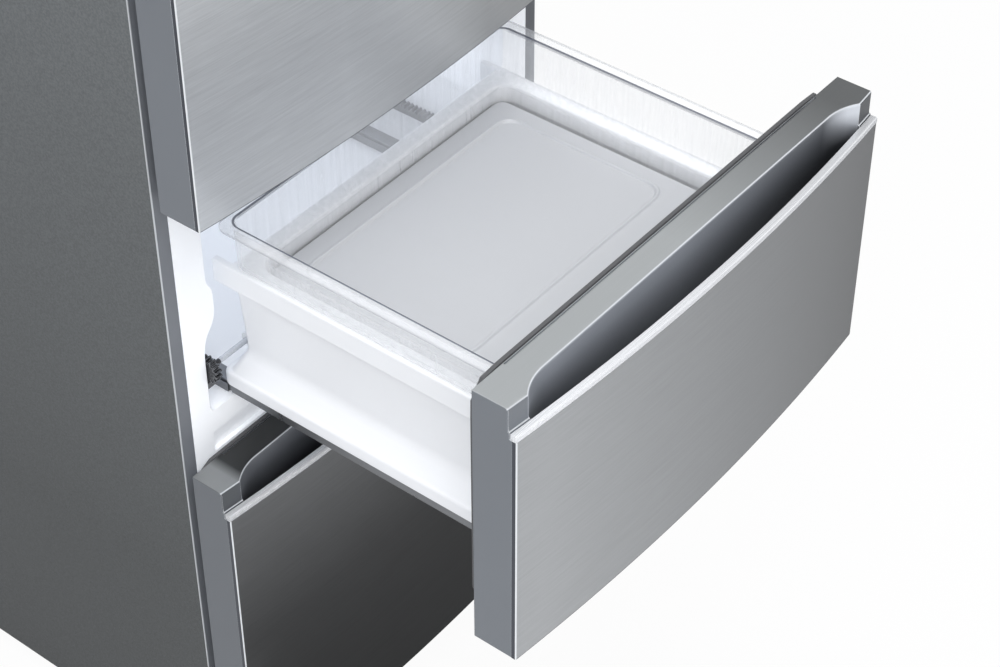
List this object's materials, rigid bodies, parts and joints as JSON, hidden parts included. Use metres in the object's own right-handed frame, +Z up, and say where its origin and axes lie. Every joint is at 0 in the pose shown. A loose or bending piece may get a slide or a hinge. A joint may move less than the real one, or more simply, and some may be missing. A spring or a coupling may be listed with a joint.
{
  "type": "bottom freezer refrigerator",
  "caption": "Free-standing bottom freezer refrigerator: hinged upper door, pull-out freezer drawers below, the middle one open with its white box, clear basket and cooling tray.",
  "frame": {"origin": "centre of the bounding box's base, on the floor, with the middle drawer open", "axes": "+Z up, +Y from the doors towards the back, +X to the right as seen from the front"},
  "size_m": [0.6, 1.0276, 1.852],
  "materials": {
    "case_paint": "satin",
    "stainless_front": "satin",
    "front_surround": "satin",
    "bright_strip": "polished",
    "white_liner": "satin",
    "door_core": "satin",
    "insulation_foam": "matte",
    "white_box": "satin",
    "clear_plastic": "gloss",
    "shelf_glass": "gloss",
    "tray_metal": "satin",
    "seal_rubber": "matte",
    "zinc_steel": "satin",
    "runner_steel": "satin",
    "gear_plastic": "satin",
    "black_plastic": "matte",
    "hood_plastic": "satin",
    "black_metal": "satin",
    "coil_aluminium": "satin",
    "line_copper": "satin"
  },
  "bodies": {
    "cabinet": {"outer_case": "case_paint", "back_panel": "zinc_steel", "base_pan": "zinc_steel", "fridge_liner": "white_liner", "middle_liner": "white_liner", "lower_liner": "white_liner", "cabinet_foam": "insulation_foam", "mullion_rails": "white_liner", "kick_plate": "black_plastic", "roller_axles": "zinc_steel", "top_hinge": "zinc_steel", "middle_hinge": "zinc_steel", "hinge_cover": "hood_plastic", "compressor": "black_metal", "compressor_mounts": "seal_rubber", "condenser": "black_metal", "fan_motors": "black_metal", "refrigerant_lines": "line_copper", "drip_tray": "black_plastic", "machine_room_cover": "zinc_steel", "power_inlet": "black_plastic", "control_box": "black_plastic", "evaporator": "coil_aluminium", "evaporator_cover": "white_liner", "air_duct": "white_liner", "ceiling_lamp": "white_liner", "glass_shelves": "shelf_glass", "fixed_runners": "runner_steel"},
    "fridge_door": {"fridge_door_panel": "stainless_front", "fridge_door_surround": "front_surround", "fridge_door_core": "door_core", "fridge_door_gasket": "seal_rubber", "fridge_door_strip": "bright_strip", "door_bins": "clear_plastic"},
    "middle_drawer": {"middle_front_panel": "stainless_front", "middle_front_surround": "front_surround", "middle_front_core": "door_core", "middle_front_strip": "bright_strip", "middle_front_gasket": "seal_rubber", "middle_box": "white_box", "middle_drawer_runners": "runner_steel"},
    "middle_members": {"middle_runner_members": "runner_steel"},
    "pinions": {"pinion_shaft": "gear_plastic"},
    "basket": {"clear_basket": "clear_plastic"},
    "tray": {"cooling_tray": "tray_metal"},
    "lower_drawer": {"lower_front_panel": "stainless_front", "lower_front_surround": "front_surround", "lower_front_core": "door_core", "lower_front_strip": "bright_strip", "lower_front_gasket": "seal_rubber", "lower_box": "white_box", "lower_drawer_runners": "runner_steel"},
    "lower_members": {"lower_runner_members": "runner_steel"},
    "crisper_drawer": {"crisper": "clear_plastic"},
    "cold_fan": {"evaporator_fan": "black_plastic"},
    "warm_fan": {"condenser_fan": "black_plastic"},
    "left_roller": {"rear_roller_left": "black_plastic"},
    "right_roller": {"rear_roller_right": "black_plastic"},
    "left_foot": {"front_foot_left": "black_plastic"},
    "right_foot": {"front_foot_right": "black_plastic"}
  },
  "joints": [
    {"name": "fridge_door_hinge", "type": "hinge", "parent": "cabinet", "child": "fridge_door", "pos_m": [0.286, -0.09225, 1.3], "axis": [0, 0, 1], "range_deg": [0, 115]},
    {"name": "middle_drawer_slide", "type": "slide", "parent": "cabinet", "child": "middle_drawer", "axis": [0, -1, 0], "range_m": [-0.377, 0]},
    {"name": "middle_members_slide", "type": "slide", "parent": "cabinet", "child": "middle_members", "axis": [0, -1, 0], "range_m": [-0.1885, 0]},
    {"name": "pinion_roll", "type": "hinge", "parent": "middle_drawer", "child": "pinions", "pos_m": [0, -0.05525, 0.644], "axis": [1, 0, 0], "range_deg": [-1545, 0]},
    {"name": "basket_lift", "type": "slide", "parent": "middle_drawer", "child": "basket", "axis": [0, 0, 1], "range_m": [0, 0.055]},
    {"name": "tray_lift", "type": "slide", "parent": "basket", "child": "tray", "axis": [0, 0, 1], "range_m": [0, 0.07]},
    {"name": "lower_drawer_slide", "type": "slide", "parent": "cabinet", "child": "lower_drawer", "axis": [0, -1, 0], "range_m": [0, 0.31]},
    {"name": "lower_members_slide", "type": "slide", "parent": "cabinet", "child": "lower_members", "axis": [0, -1, 0], "range_m": [0, 0.155]},
    {"name": "crisper_slide", "type": "slide", "parent": "cabinet", "child": "crisper_drawer", "axis": [0, -1, 0], "range_m": [0, 0.045]},
    {"name": "cold_fan_spin", "type": "hinge", "parent": "cabinet", "child": "cold_fan", "pos_m": [0, 0.38475, 0.793], "axis": [0, 1, 0], "continuous": true},
    {"name": "warm_fan_spin", "type": "hinge", "parent": "cabinet", "child": "warm_fan", "pos_m": [0.104, 0.40775, 0.135], "axis": [1, 0, 0], "continuous": true},
    {"name": "left_roller_spin", "type": "hinge", "parent": "cabinet", "child": "left_roller", "pos_m": [-0.24, 0.46975, 0.02], "axis": [1, 0, 0], "continuous": true},
    {"name": "right_roller_spin", "type": "hinge", "parent": "cabinet", "child": "right_roller", "pos_m": [0.24, 0.46975, 0.02], "axis": [1, 0, 0], "continuous": true},
    {"name": "left_foot_turn", "type": "hinge", "parent": "cabinet", "child": "left_foot", "pos_m": [-0.262, -0.01025, 0], "axis": [0, 0, 1], "continuous": true},
    {"name": "right_foot_turn", "type": "hinge", "parent": "cabinet", "child": "right_foot", "pos_m": [0.262, -0.01025, 0], "axis": [0, 0, 1], "continuous": true}
  ],
  "couplings": [
    {"joint": "middle_members_slide", "follows": "middle_drawer_slide", "ratio": 0.5},
    {"joint": "pinion_roll", "follows": "middle_drawer_slide", "rad_per_m": 71.429},
    {"joint": "lower_members_slide", "follows": "lower_drawer_slide", "ratio": 0.5}
  ]
}
